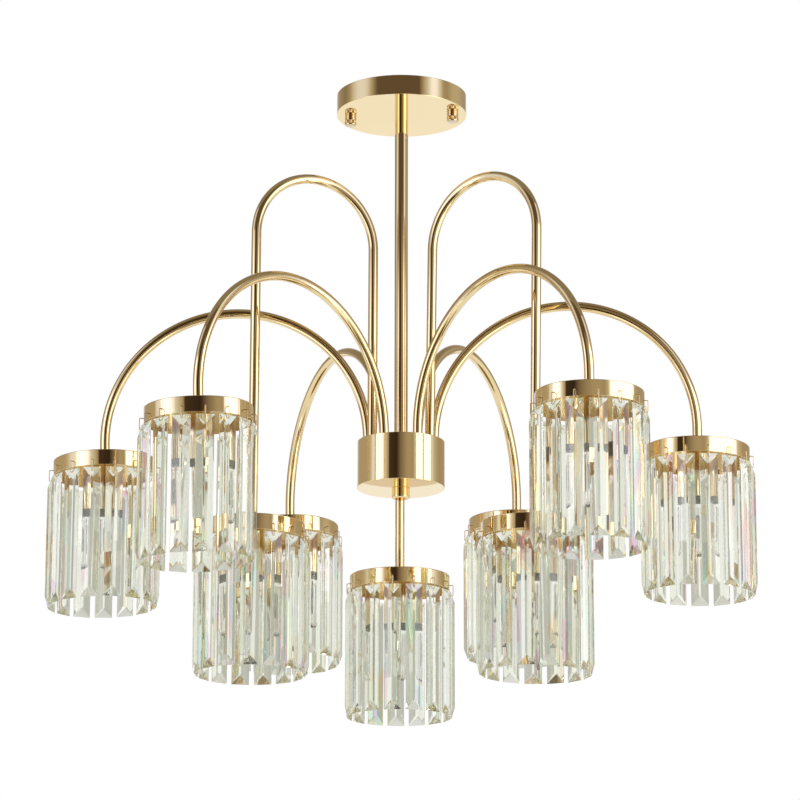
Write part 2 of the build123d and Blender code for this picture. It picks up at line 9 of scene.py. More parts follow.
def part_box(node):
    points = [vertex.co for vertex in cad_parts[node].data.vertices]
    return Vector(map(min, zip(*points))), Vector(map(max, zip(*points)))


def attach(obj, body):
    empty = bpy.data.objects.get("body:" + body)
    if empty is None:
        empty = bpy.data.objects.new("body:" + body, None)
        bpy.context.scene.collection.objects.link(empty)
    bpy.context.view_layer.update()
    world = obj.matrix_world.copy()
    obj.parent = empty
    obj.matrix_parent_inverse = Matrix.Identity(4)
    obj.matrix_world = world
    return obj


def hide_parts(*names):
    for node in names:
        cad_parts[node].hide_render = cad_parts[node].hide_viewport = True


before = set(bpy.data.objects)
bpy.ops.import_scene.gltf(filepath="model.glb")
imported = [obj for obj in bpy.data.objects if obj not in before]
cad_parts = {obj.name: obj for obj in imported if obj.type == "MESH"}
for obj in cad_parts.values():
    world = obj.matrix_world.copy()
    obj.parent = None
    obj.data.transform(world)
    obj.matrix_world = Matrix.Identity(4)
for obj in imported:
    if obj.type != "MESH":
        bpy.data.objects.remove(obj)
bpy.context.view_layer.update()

# ------------------------------------------------------------------ camera
# The fixture hangs from a ceiling and is looked at from below its shades,
# with a long lens, so the undersides of canopy and hub both show.
CAMERA_AT = Vector((-0.00103, -3.7133, -1.3267))
TILT_UP = radians(14.963)
ROLL = radians(0.12)
LENS = 166.0                             # millimetres, as is the sensor's width
SENSOR = 36.0
SEES_TO = 50.0


def put_in_scene(name, data):
    """A new object of the data, in the scene."""
    made = bpy.data.objects.new(name, data)
    bpy.context.scene.collection.objects.link(made)
    return made


camera = put_in_scene("camera", bpy.data.cameras.new("camera"))
camera.data.lens = LENS
camera.data.sensor_width = SENSOR
camera.data.clip_end = SEES_TO
camera.matrix_world = (
    Matrix.Translation(CAMERA_AT)
    @ Matrix.Rotation(pi / 2 + TILT_UP, 4, "X")
    @ Matrix.Rotation(ROLL, 4, "Z")
)
bpy.context.scene.camera = camera
bpy.context.scene.view_settings.view_transform = "Standard"

# ------------------------------------------------------------------ room
# A white studio with a pale floor.  Two tall soft boxes stand left and right
# of the camera with dark cloth between them, and the rest is soft grey.
BACKDROP = (1.0, 1.0, 1.0, 1.0)
ALL_ROUND = (1.0, 1.0, 1.0, 1.0)         # what falls on matt surfaces
# light level by share of a full turn: behind, left, front, right and behind again
METAL_ROOM_LOW = [
    (0.000, 0.90), (0.033, 0.92), (0.056, 0.82), (0.078, 0.56), (0.100, 0.44), (0.233, 0.47),
    (0.256, 0.57), (0.290, 0.86), (0.500, 0.30), (0.722, 1.05), (0.744, 0.90), (0.767, 0.64),
    (0.789, 0.53), (0.811, 0.46), (0.833, 0.41), (0.944, 0.41), (0.978, 0.55), (1.000, 0.90),
]
METAL_ROOM_HIGH = [
    (0.000, 0.85), (0.031, 0.78), (0.053, 0.59), (0.075, 0.41), (0.167, 0.27), (0.189, 0.32),
    (0.211, 0.44), (0.233, 0.64), (0.256, 0.79), (0.290, 0.80), (0.500, 0.25), (0.744, 0.38),
    (0.789, 0.53), (0.833, 0.53), (0.881, 0.43), (0.925, 0.39), (0.947, 0.48), (0.969, 0.73),
    (1.000, 0.85),
]
GLASS_ROOM = [
    (0.000, 0.92), (0.022, 0.92), (0.042, 0.52), (0.111, 0.48), (0.133, 0.86), (0.194, 0.92),
    (0.222, 0.36), (0.264, 0.32), (0.292, 1.10), (0.375, 1.15), (0.403, 0.45), (0.500, 0.28),
    (0.583, 0.40), (0.611, 1.15), (0.708, 1.10), (0.736, 0.38), (0.778, 0.32), (0.806, 0.80),
    (0.875, 0.88), (0.894, 0.50), (0.944, 0.55), (0.967, 0.92), (1.000, 0.92),
]
METAL_OVERHEAD = (0.29, 0.26, 0.21, 1.0)
METAL_BELOW = (1.01, 1.07, 1.17, 1.0)
GLASS_OVERHEAD = (0.62, 0.62, 0.58, 1.0)
GLASS_BELOW = (0.85, 0.84, 0.79, 1.0)
# heights, as the sine of the angle above the horizon, over which one part gives way to the next
LOW_TO_HIGH = (0.25, 0.31)
METAL_TO_OVERHEAD = (0.40, 0.85)
GLASS_TO_OVERHEAD = (0.35, 0.80)
METAL_TO_BELOW = (0.02, -0.06)
# tint by light level: dim parts are warm wood and cloth, the lit panels cool white
GLASS_TINTS = [(0.0, (1.0, 0.99, 0.82)), (0.7, (0.99, 1.0, 0.90)), (1.2, (1.0, 1.0, 1.0))]
ROOM_TINTS = [
    (0.00, (1.0, 0.68, 0.54)), (0.12, (1.0, 0.73, 0.54)), (0.25, (1.0, 0.86, 0.74)),
    (0.45, (1.0, 0.90, 0.76)), (0.60, (1.0, 1.00, 1.00)), (0.85, (1.0, 1.10, 1.50)),
    (1.30, (1.0, 1.10, 1.70)), (2.90, (1.0, 1.00, 1.00)),
]


def tinted(level, tints):
    """Colour of a light level: the level times its tint."""
    for (low_at, low_tint), (high_at, high_tint) in zip(tints, tints[1:]):
        if level <= high_at:
            share = (level - low_at) / (high_at - low_at)
            return [level * (p + (q - p) * share) for p, q in zip(low_tint, high_tint)]
    return [level * part for part in tints[-1][1]]


def colours_along(tree, value, stops):
    """Colours at their places along a value from nought to one."""
    ramp = tree.nodes.new("ShaderNodeValToRGB")
    marks = ramp.color_ramp.elements
    while len(marks) < len(stops):
        marks.new(0.5)
    for mark, (place, colour) in zip(marks, stops):
        mark.position = place
        mark.color = (*colour, 1.0)
    tree.links.new(value, ramp.inputs["Fac"])
    return ramp.outputs["Color"]


def light_along(tree, value, levels, tints):
    """Tinted light levels along a value; a ramp stops at one, so a gain follows it."""
    colours = [tinted(level, tints) for _, level in levels]
    top = max(max(colour) for colour in colours)
    stops = [(place, [part / top for part in colour]) for (place, _), colour in zip(levels, colours)]
    gain = tree.nodes.new("ShaderNodeVectorMath")
    gain.operation = "SCALE"
    gain.inputs["Scale"].default_value = top
    tree.links.new(colours_along(tree, value, stops), gain.inputs[0])
    return gain.outputs["Vector"]


def blend_by(tree, factor, first, second):
    """Mixes two colours, each a constant or a socket, by a factor socket."""
    mix = tree.nodes.new("ShaderNodeMix")
    mix.data_type = "RGBA"
    tree.links.new(factor, mix.inputs["Factor"])
    for slot, colour in (("A", first), ("B", second)):
        if isinstance(colour, tuple):
            mix.inputs[slot].default_value = colour
        else:
            tree.links.new(colour, mix.inputs[slot])
    return mix.outputs["Result"]


def span_of(tree, value, start, end):
    """Zero to one as a value goes from start to end, with soft ends."""
    span = tree.nodes.new("ShaderNodeMapRange")
    span.interpolation_type = "SMOOTHSTEP"
    span.inputs["From Min"].default_value = start
    span.inputs["From Max"].default_value = end
    tree.links.new(value, span.inputs["Value"])
    return span.outputs["Result"]


world = bpy.data.worlds.new("studio")
world.use_nodes = True
bpy.context.scene.world = world
tree = world.node_tree
tree.nodes.clear()
where = tree.nodes.new("ShaderNodeTexCoord")
split = tree.nodes.new("ShaderNodeSeparateXYZ")
tree.links.new(where.outputs["Generated"], split.inputs["Vector"])
front = tree.nodes.new("ShaderNodeMath")
front.operation = "MULTIPLY"
front.inputs[1].default_value = -1.0
tree.links.new(split.outputs["Y"], front.inputs[0])
azimuth = tree.nodes.new("ShaderNodeMath")
azimuth.operation = "ARCTAN2"
tree.links.new(split.outputs["X"], azimuth.inputs[0])
tree.links.new(front.outputs["Value"], azimuth.inputs[1])
turn = tree.nodes.new("ShaderNodeMapRange")
turn.inputs["From Min"].default_value = -pi
turn.inputs["From Max"].default_value = pi
tree.links.new(azimuth.outputs["Value"], turn.inputs["Value"])
metal_low = light_along(tree, turn.outputs["Result"], METAL_ROOM_LOW, ROOM_TINTS)
metal_high = light_along(tree, turn.outputs["Result"], METAL_ROOM_HIGH, ROOM_TINTS)
metal_room = blend_by(tree, span_of(tree, split.outputs["Z"], *LOW_TO_HIGH), metal_low, metal_high)
glass_room = light_along(tree, turn.outputs["Result"], GLASS_ROOM, GLASS_TINTS)
glass_top = span_of(tree, split.outputs["Z"], *GLASS_TO_OVERHEAD)
glass_room = blend_by(tree, glass_top, glass_room, GLASS_OVERHEAD)
metal_top = span_of(tree, split.outputs["Z"], *METAL_TO_OVERHEAD)
metal_room = blend_by(tree, metal_top, metal_room, METAL_OVERHEAD)
metal_foot = span_of(tree, split.outputs["Z"], *METAL_TO_BELOW)
metal_room = blend_by(tree, metal_foot, metal_room, METAL_BELOW)
path = tree.nodes.new("ShaderNodeLightPath")
shown = metal_room
for ray, colour in (
    ("Is Diffuse Ray", ALL_ROUND),
    ("Is Transmission Ray", glass_room),
    ("Is Camera Ray", BACKDROP),
):
    shown = blend_by(tree, path.outputs[ray], shown, colour)
background = tree.nodes.new("ShaderNodeBackground")
output = tree.nodes.new("ShaderNodeOutputWorld")
tree.links.new(shown, background.inputs["Color"])
tree.links.new(background.outputs["Background"], output.inputs["Surface"])

# ------------------------------------------------------------------ floor
# The floor lies well below the shades, matt and pale.  Mirrors and glass see
# its light as one even tone.
FLOOR_Z = -4.4
FLOOR_HALF = 28.0
FLOOR_COLOUR = (0.94, 0.94, 0.93, 1.0)
FLOOR_ROUGH = 0.9


def mesh_of(name, bm):
    """Turns a bmesh into a mesh and lets the bmesh go."""
    mesh = bpy.data.meshes.new(name)
    bm.to_mesh(mesh)
    bm.free()
    return mesh


def stage_plane(name, corners, paint):
    """A flat part of the studio through four corners."""
    flat = bmesh.new()
    flat.faces.new([flat.verts.new(corner) for corner in corners])
    mesh = mesh_of(name, flat)
    mesh.materials.append(paint)
    piece = put_in_scene(name, mesh)
    return piece


def new_material(name):
    """A material, its node tree and its Principled shader."""
    made = bpy.data.materials.new(name)
    made.use_nodes = True
    return made, made.node_tree, made.node_tree.nodes["Principled BSDF"]


floor_paint, floor_tree, matt = new_material("pale_floor")
matt.inputs["Base Color"].default_value = FLOOR_COLOUR
matt.inputs["Roughness"].default_value = FLOOR_ROUGH
floor_path = floor_tree.nodes.new("ShaderNodeLightPath")
seen = matt.outputs["BSDF"]
for ray, tone in (("Is Glossy Ray", METAL_BELOW), ("Is Transmission Ray", GLASS_BELOW)):
    even = floor_tree.nodes.new("ShaderNodeEmission")
    even.inputs["Color"].default_value = tone
    either = floor_tree.nodes.new("ShaderNodeMixShader")
    floor_tree.links.new(floor_path.outputs[ray], either.inputs["Fac"])
    floor_tree.links.new(seen, either.inputs[1])
    floor_tree.links.new(even.outputs["Emission"], either.inputs[2])
    seen = either.outputs["Shader"]
floor_tree.links.new(seen, floor_tree.nodes["Material Output"].inputs["Surface"])
floor_paint.cycles.emission_sampling = "NONE"
stage_plane("floor", [
    (x * FLOOR_HALF, y * FLOOR_HALF, FLOOR_Z) for x, y in ((-1, -1), (1, -1), (1, 1), (-1, 1))
], floor_paint)

# ------------------------------------------------------------------ screens
# Three screens close in front: a soft box on either side and the cloth
# between.  They show only as reflections in polished metal.
SCREEN_FOOT = -1.7
SCREEN_TOP = 0.75
SCREEN_Y = -0.73
HIGH_FROM = 0.02                         # the boxes narrow above this height
HIGH_TO = 0.16
LEFT_BOX = [(-0.70, SCREEN_Y), (-1.20, -0.10)]
CLOTH = [(-0.70, SCREEN_Y), (0.57, SCREEN_Y)]
RIGHT_BOX = [(0.57, SCREEN_Y), (1.20, -0.03)]
CLOTH_LOW = [
    (0.000, 0.80), (0.085, 0.66), (0.190, 0.40), (0.225, 0.06), (0.440, 0.035), (0.475, 0.08),
    (0.550, 0.22), (0.640, 0.33), (0.720, 0.42), (0.800, 0.44), (0.890, 0.40), (0.960, 0.56),
    (1.000, 1.00),
]
CLOTH_HIGH = [(0.00, 0.16), (0.08, 0.13), (0.88, 0.13), (1.00, 0.43)]
LEFT_LOW = [
    (0.00, 0.95), (0.08, 1.20), (0.24, 2.20), (0.42, 2.40), (0.60, 0.95), (0.80, 0.86), (1.00, 0.60),
]
LEFT_HIGH = [
    (0.00, 0.20), (0.06, 0.25), (0.23, 0.52), (0.40, 0.78), (0.58, 0.86), (0.80, 0.86), (1.00, 0.80),
]
RIGHT_LOW = [(0.00, 1.10), (0.06, 2.20), (0.15, 2.90), (0.70, 2.90), (0.85, 1.60), (1.00, 0.90)]
RIGHT_HIGH = [
    (0.00, 0.43), (0.14, 0.71), (0.27, 1.10), (0.41, 1.10), (0.555, 0.74), (0.72, 0.42),
    (0.92, 0.38), (1.00, 0.40),
]


def screen(name, run, low_levels, high_levels):
    """Upright screen over a floor line, its glow given along the line for both heights."""
    (x0, y0), (x1, y1) = run
    glow, nt, _ = new_material(name)
    nt.nodes.clear()
    place = nt.nodes.new("ShaderNodeTexCoord")
    parts = nt.nodes.new("ShaderNodeSeparateXYZ")
    nt.links.new(place.outputs["Object"], parts.inputs["Vector"])
    along = nt.nodes.new("ShaderNodeMapRange")
    along.inputs["From Min"].default_value = x0
    along.inputs["From Max"].default_value = x1
    nt.links.new(parts.outputs["X"], along.inputs["Value"])
    low_glow = light_along(nt, along.outputs["Result"], low_levels, ROOM_TINTS)
    high_glow = light_along(nt, along.outputs["Result"], high_levels, ROOM_TINTS)
    rise = span_of(nt, parts.outputs["Z"], HIGH_FROM, HIGH_TO)
    emit = nt.nodes.new("ShaderNodeEmission")
    nt.links.new(blend_by(nt, rise, low_glow, high_glow), emit.inputs["Color"])
    surface = nt.nodes.new("ShaderNodeOutputMaterial")
    nt.links.new(emit.outputs["Emission"], surface.inputs["Surface"])
    piece = stage_plane(name, [
        (x0, y0, SCREEN_FOOT), (x1, y1, SCREEN_FOOT), (x1, y1, SCREEN_TOP), (x0, y0, SCREEN_TOP),
    ], glow)
    for kind in ("camera", "diffuse", "transmission", "volume_scatter", "shadow"):
        setattr(piece, f"visible_{kind}", False)
    glow.cycles.emission_sampling = "NONE"


screen("left_soft_box", LEFT_BOX, LEFT_LOW, LEFT_HIGH)
screen("dark_cloth", CLOTH, CLOTH_LOW, CLOTH_HIGH)
screen("right_soft_box", RIGHT_BOX, RIGHT_LOW, RIGHT_HIGH)

# ------------------------------------------------------------------ lamp
# One broad soft lamp high in front on the right lights the matt parts.  It
# doesn't show in the polished metal.
LAMP_SIZE = (1.2, 1.6)
LAMP_WATTS = 18.0
LAMP_AT = Vector((1.9, -2.2, 0.9))
LAMP_AIM = Vector((0, 0, -0.4))
lamp = put_in_scene("soft_lamp", bpy.data.lights.new("soft_lamp", "AREA"))
lamp.data.shape = "RECTANGLE"
lamp.data.size, lamp.data.size_y = LAMP_SIZE
lamp.data.energy = LAMP_WATTS
lamp_turn = (LAMP_AT - LAMP_AIM).to_track_quat("Z", "Y")
lamp.matrix_world = Matrix.Translation(LAMP_AT) @ lamp_turn.to_matrix().to_4x4()
lamp.visible_glossy = False

# ------------------------------------------------------------------ gold plate
# Steel and brass parts are buffed and plated a pale champagne gold.  The
# mirror is clean; only its tone and polish drift a little from place to place.
PATCHES_PER_M = 14.0                     # of fuller and thinner polish
DULL_FROM = 0.35                         # levels of the patches over which the polish goes dull
DULL_TO = 0.85
GRAIN_PER_M = 900.0                      # buffing marks
GRAIN_DEPTH = 0.0001


def new_group(name, outputs, **inputs):
    """Empty shader node group with float inputs and the named outputs."""
    group = bpy.data.node_groups.new(name, "ShaderNodeTree")
    for label, value in inputs.items():
        socket = group.interface.new_socket(label, in_out="INPUT", socket_type="NodeSocketFloat")
        socket.default_value = value
    for label, kind in outputs:
        group.interface.new_socket(label, in_out="OUTPUT", socket_type=kind)
    return group


polish = new_group(
    "polish",
    [("Roughness", "NodeSocketFloat"), ("Tone", "NodeSocketFloat"), ("Height", "NodeSocketFloat")],
    Smooth=0.03, Dull=0.12, Grain=GRAIN_PER_M,
)
inside = polish.nodes.new("NodeGroupInput")
outside = polish.nodes.new("NodeGroupOutput")
place = polish.nodes.new("ShaderNodeTexCoord")
patches = polish.nodes.new("ShaderNodeTexNoise")
patches.inputs["Scale"].default_value = PATCHES_PER_M
patches.inputs["Detail"].default_value = 4.0
polish.links.new(place.outputs["Object"], patches.inputs["Vector"])
buffing = polish.nodes.new("ShaderNodeTexNoise")
buffing.inputs["Detail"].default_value = 2.0
polish.links.new(place.outputs["Object"], buffing.inputs["Vector"])
polish.links.new(inside.outputs["Grain"], buffing.inputs["Scale"])
wear = polish.nodes.new("ShaderNodeMapRange")
wear.inputs["From Min"].default_value = DULL_FROM
wear.inputs["From Max"].default_value = DULL_TO
polish.links.new(patches.outputs["Fac"], wear.inputs["Value"])
polish.links.new(inside.outputs["Smooth"], wear.inputs["To Min"])
polish.links.new(inside.outputs["Dull"], wear.inputs["To Max"])
polish.links.new(wear.outputs["Result"], outside.inputs["Roughness"])
polish.links.new(patches.outputs["Fac"], outside.inputs["Tone"])
polish.links.new(buffing.outputs["Fac"], outside.inputs["Height"])


def metal(name, pale, deep, smooth, dull, grain=0.0):
    """Metal whose tone and polish drift a little over the surface, with or without grain."""
    made, nt, shader = new_material(name)
    shader.inputs["Metallic"].default_value = 1.0
    finish = nt.nodes.new("ShaderNodeGroup")
    finish.node_tree = polish
    finish.inputs["Smooth"].default_value = smooth
    finish.inputs["Dull"].default_value = dull
    tone = blend_by(nt, finish.outputs["Tone"], (*pale, 1.0), (*deep, 1.0))
    nt.links.new(tone, shader.inputs["Base Color"])
    nt.links.new(finish.outputs["Roughness"], shader.inputs["Roughness"])
    if grain:
        relief = nt.nodes.new("ShaderNodeBump")
        relief.inputs["Strength"].default_value = grain
        relief.inputs["Distance"].default_value = GRAIN_DEPTH
        nt.links.new(finish.outputs["Height"], relief.inputs["Height"])
        nt.links.new(relief.outputs["Normal"], shader.inputs["Normal"])
    return made


gold = metal("champagne_gold", pale=(0.90, 0.69, 0.35), deep=(0.84, 0.635, 0.31), smooth=0.02, dull=0.05)

# ------------------------------------------------------------------ canopy
# A shallow pan spun from sheet brass, buffed and plated; it hides the ceiling
# bracket and the wiring.  The real pan is drilled for the rod and two studs;
# this one is left whole.
CANOPY_WALL = 0.001
CANOPY_EDGE = 0.0004
SMOOTH_TO = radians(32)                  # faces that meet flatter than this shade as one
SHARP_OVER = radians(40)                 # and edges that turn more than this are rounded
HOLDING_LOOP = 0.0002


def cup(radius, wall, floor, inner_floor, rim):
    """Profile of a round cup, its open side up or down, for turned()."""
    return [
        (0, floor), (radius, floor), (radius, rim),
        (radius - wall, rim), (radius - wall, inner_floor), (0, inner_floor),
    ]


def turned(profile, steps=128):
    """A profile of (radius, height) points, from axis to axis, spun about the vertical."""
    bm = bmesh.new()
    rim = [bm.verts.new((radius, 0, height)) for radius, height in profile]
    edges = [bm.edges.new(pair) for pair in zip(rim, rim[1:])]
    bmesh.ops.spin(bm, geom=rim + edges, cent=(0, 0, 0), axis=(0, 0, 1),
                   angle=2 * pi, steps=steps, use_merge=True)
    bmesh.ops.remove_doubles(bm, verts=bm.verts, dist=1e-6)
    bmesh.ops.dissolve_degenerate(bm, edges=bm.edges, dist=1e-7)
    bmesh.ops.recalc_face_normals(bm, faces=bm.faces)
    return bm


def soften(bm, edges, width, segments):
    """Rounds edges and puts a narrow loop beside them, so the flats stay flat."""
    rounded = bmesh.ops.bevel(bm, geom=edges, offset=width, segments=segments, profile=0.5,
                              affect="EDGES", material=-1, clamp_overlap=True)
    curved = set(rounded["faces"])
    flats = [f for f in bm.faces if f not in curved]
    bmesh.ops.inset_region(bm, faces=flats, thickness=HOLDING_LOOP, depth=0.0,
                            use_even_offset=True)


def sharp_edges(bm):
    """Edges at which the surface turns a corner."""
    return [e for e in bm.edges if len(e.link_faces) == 2 and e.calc_face_angle(0) > SHARP_OVER]


def finish_piece(name, bm, material, body="fixture", stands_for=()):
    """Makes a piece of a finished bmesh and lets it ride on its body."""
    mesh = mesh_of(name, bm)
    mesh.polygons.foreach_set("use_smooth", [True] * len(mesh.polygons))
    mesh.set_sharp_from_angle(angle=SMOOTH_TO)
    mesh.materials.append(material)
    piece = put_in_scene(name, mesh)
    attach(piece, body)
    if stands_for:
        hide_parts(*stands_for)
    return piece


pan_low, pan_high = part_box("canopy")
pan_r = (pan_high[0] - pan_low[0]) / 2
pan = turned(cup(pan_r, CANOPY_WALL, pan_low[2], pan_low[2] + CANOPY_WALL, pan_high[2]))
soften(pan, sharp_edges(pan), CANOPY_EDGE, segments=4)
finish_piece("canopy_pan", pan, gold, stands_for=["canopy"])

# ------------------------------------------------------------------ thumb nuts
# Two nuts turned from brass bar run on the bracket's studs and clamp the
# canopy up: two plain rings, a fluted grip and a rounded foot, then plated.
NUT_RING = 0.0015
NUT_GROOVE = 0.0005
NUT_FOOT = 0.0015                        # radius of the rounded foot
NUT_EDGE = 0.00012
NUT_FLUTES = 24
NUT_FLUTE_DEPTH = 0.00035
NUT_PLAIN = 0.0002                       # plain band at either end of the flutes
NUT_STEPS = 4                            # columns of the spun mesh per flute
NEAR = 1e-5                              # points closer than this count as one
nut_gold = metal("nut_gold", pale=(0.70, 0.55, 0.34), deep=(0.62, 0.48, 0.29), smooth=0.10, dull=0.18)


def thumb_nut(name, node):
    """Ringed and fluted nut between the CAD nut's faces."""
    low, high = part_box(node)
    radius = (high[0] - low[0]) / 2
    tall = high[2] - low[2]
    waist = radius - NUT_GROOVE
    grip = tall - 2 * (NUT_RING + NUT_GROOVE)
    bm = turned([
        (0, 0), (radius, 0), (radius, grip), (waist, grip), (waist, grip + NUT_GROOVE),
        (radius, grip + NUT_GROOVE), (radius, grip + NUT_GROOVE + NUT_RING),
        (waist, grip + NUT_GROOVE + NUT_RING), (waist, tall - NUT_RING), (radius, tall - NUT_RING),
        (radius, tall), (0, tall),
    ], steps=NUT_FLUTES * NUT_STEPS)
    foot = [e for e in sharp_edges(bm) if all(v.co.z < NEAR for v in e.verts)]
    bmesh.ops.bevel(bm, geom=foot, offset=NUT_FOOT, segments=6, profile=0.5,
                    affect="EDGES", material=-1)
    for height in (grip - NUT_PLAIN, NUT_FOOT + NUT_PLAIN):
        bmesh.ops.bisect_plane(bm, geom=bm.verts[:] + bm.edges[:] + bm.faces[:],
                               plane_co=(0, 0, height), plane_no=(0, 0, 1))
    for vert in bm.verts:
        if NUT_FOOT + NUT_PLAIN / 2 < vert.co.z < grip - NUT_PLAIN / 2:
            around = vert.co.xy.angle_signed(Vector((1, 0))) * NUT_FLUTES
            vert.co.xy *= 1 - NUT_FLUTE_DEPTH / radius * (0.5 + 0.5 * cos(around))
    ring_edges = [e for e in sharp_edges(bm) if all(v.co.z > grip - NUT_PLAIN / 2 for v in e.verts)]
    soften(bm, ring_edges, NUT_EDGE, segments=2)
    bmesh.ops.translate(bm, verts=bm.verts,
                        vec=((low[0] + high[0]) / 2, (low[1] + high[1]) / 2, low[2]))
    finish_piece(name, bm, nut_gold, body=node, stands_for=[node])


thumb_nut("knurled_nut_1", "thumb_nut_1")
thumb_nut("knurled_nut_2", "thumb_nut_2")

# ------------------------------------------------------------------ rod
# A drawn brass tube from canopy to hub carries the whole fixture.  Drawn tube
# takes the polish a little less well than spun sheet.
tube_gold = metal("tube_gold", pale=(0.83, 0.635, 0.33), deep=(0.77, 0.58, 0.29), smooth=0.02, dull=0.05)


def bar(radius, start, end):
    """Profile of a plain round bar, for turned()."""
    return [(0, start), (radius, start), (radius, end), (0, end)]


rod_low, rod_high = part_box("down_rod")
rod = turned(bar((rod_high[0] - rod_low[0]) / 2, rod_low[2], rod_high[2]), steps=64)
finish_piece("rod_tube", rod, tube_gold, stands_for=["down_rod"])

# ------------------------------------------------------------------ hub
# A deep cup spun from sheet brass, its edges just broken.  A plate closes it
# on top and carries the arms.
HUB_WALL = 0.0012
HUB_EDGE = 0.0004
hub_low, hub_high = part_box("hub_cup")
hub_r = (hub_high[0] - hub_low[0]) / 2
hub = turned(cup(hub_r, HUB_WALL, hub_low[2], hub_low[2] + HUB_WALL, hub_high[2]), steps=160)
soften(hub, sharp_edges(hub), HUB_EDGE, segments=4)
finish_piece("hub_drum", hub, gold, stands_for=["hub_cup"])

# ------------------------------------------------------------------ finial
# A plain knob turned from brass bar, rounded off below, that screws on under
# the hub.
FINIAL_EDGE = 0.002
FINIAL_TOP_EDGE = 0.0005
fin_low, fin_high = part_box("finial")
knob = turned(bar((fin_high[0] - fin_low[0]) / 2, fin_low[2], fin_high[2]), steps=64)
for height, width in ((fin_low[2], FINIAL_EDGE), (fin_high[2], FINIAL_TOP_EDGE)):
    rim = [e for e in sharp_edges(knob) if all(abs(v.co.z - height) < NEAR for v in e.verts)]
    soften(knob, rim, width, segments=8)
finish_piece("finial_knob", knob, gold, body="finial", stands_for=["finial"])

# ------------------------------------------------------------------ arms
# Nine brass tubes, each bent once over a former to a half circle: six wide
# low arches and three narrow tall ones, screwed down on the hub plate.
ENTRY_R = 0.0344                         # circle on which the arms stand on the plate
TUBE_R = 0.005
LET_IN = 0.0002                          # depth of the tube's foot in the plate
WIDE = (0.1367, 0.0068, -0.0118)         # bend radius, spring height, cap height
TALL = (0.0677, 0.2030, -0.1066)
# (stands at, points to, lean below level, arch), the angles in degrees
ARMS = [
    (0.0, 350.8, 0.95, WIDE),
    (60.0, 65.9, 1.49, WIDE),
    (90.0, 90.4, -0.71, TALL),
    (120.0, 112.8, 2.91, WIDE),
    (180.0, 179.1, 1.71, WIDE),
    (210.0, 207.5, -0.14, TALL),
    (240.0, 228.5, 2.71, WIDE),
    (300.0, 307.4, 0.24, WIDE),
    (330.0, 321.6, 1.03, TALL),
]
hub_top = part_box("hub_plate")[1][2]


def heading(angle):
    """Level unit vector at an angle from +X."""
    return Vector((cos(radians(angle)), sin(radians(angle)), 0))


def arm_frame(arm):
    """Places an arm: x outward along its lean, z up its stem, origin on the hub."""
    stand, point, lean, _ = arm
    at = heading(stand) * ENTRY_R + Vector((0, 0, hub_top))
    return (
        Matrix.Translation(at)
        @ Matrix.Rotation(radians(point), 4, "Z")
        @ Matrix.Rotation(radians(lean), 4, "Y")
    )


def cap_frame(arm):
    """Places a shade: origin at the middle of its cap's top face."""
    bend, _, cap = arm[3]
    return arm_frame(arm) @ Matrix.Translation((2 * bend, 0, cap))


def ring_of(geometry):
    """Edges and vertices of the ring that an extrusion or a spin ends with."""
    verts = [g for g in geometry if isinstance(g, bmesh.types.BMVert)]
    edges = [g for g in geometry if isinstance(g, bmesh.types.BMEdge)]
    return [e for e in edges if all(v in verts for v in e.verts)], verts


for number, arm in enumerate(ARMS, start=1):
    bend, spring, cap = arm[3]
    bm = bmesh.new()
    bmesh.ops.create_circle(bm, cap_ends=False, segments=40, radius=TUBE_R)
    bmesh.ops.translate(bm, verts=bm.verts, vec=(0, 0, -LET_IN))
    stem = bmesh.ops.extrude_edge_only(bm, edges=bm.edges[:])
    edges, verts = ring_of(stem["geom"])
    bmesh.ops.translate(bm, verts=verts, vec=(0, 0, spring + LET_IN))
    arch = bmesh.ops.spin(bm, geom=edges + verts, cent=(bend, 0, spring), axis=(0, 1, 0),
                          angle=pi, steps=96, use_merge=False)
    edges, verts = ring_of(arch["geom_last"])
    drop = bmesh.ops.extrude_edge_only(bm, edges=edges)
    _, verts = ring_of(drop["geom"])
    bmesh.ops.translate(bm, verts=verts, vec=(0, 0, cap - spring))
    bmesh.ops.holes_fill(bm, edges=bm.edges, sides=0)
    bmesh.ops.recalc_face_normals(bm, faces=bm.faces)
    bm.transform(arm_frame(arm))
    finish_piece(f"arm_tube_{number}", bm, tube_gold, stands_for=[f"arm_{number}"])

# ------------------------------------------------------------------ shade caps
# Pressed brass caps with a turned-down rim; fifteen small holes in each rim
# take the wire links that carry the crystals.  Inside, the plate gets a softer
# polish and a paler, less golden copy of the gold: painted light that lifts
# the shaded inside of the cap.
CAP_R = 0.0536
CAP_H = 0.016
CAP_WALL = 0.001
CAP_EDGE = 0.00095
CRYSTALS = 15
HOLE_R = 0.0009
HOLE_DOWN = 0.010
HOLE_DRILL = 0.006                       # length of the drill, astride the rim's wall
# degrees round from +X at which each shade's first crystal hangs
FIRST_CRYSTAL = [13.2, 8.0, 22.1, 6.9, 20.9, 7.0, 15.9, 11.8, 18.3]
inner_gold_painted_paler = metal("inner_gold_painted_paler", pale=(0.82, 0.69, 0.45), deep=(0.76, 0.63, 0.40), smooth=0.12, dull=0.22)


def drilled(blank, drill):
    """The mesh that is left of a blank where the drills of a bmesh have gone through it."""
    work = put_in_scene("work", blank)
    tool = put_in_scene("tool", mesh_of("tool", drill))
    cut = work.modifiers.new("holes", "BOOLEAN")
    cut.operation = "DIFFERENCE"
    cut.solver = "EXACT"
    cut.object = tool
    bpy.context.view_layer.update()
    done = work.evaluated_get(bpy.context.evaluated_depsgraph_get())
    mesh = bpy.data.meshes.new_from_object(done)
    for helper in (work, tool):
        bpy.data.objects.remove(helper)
    return mesh


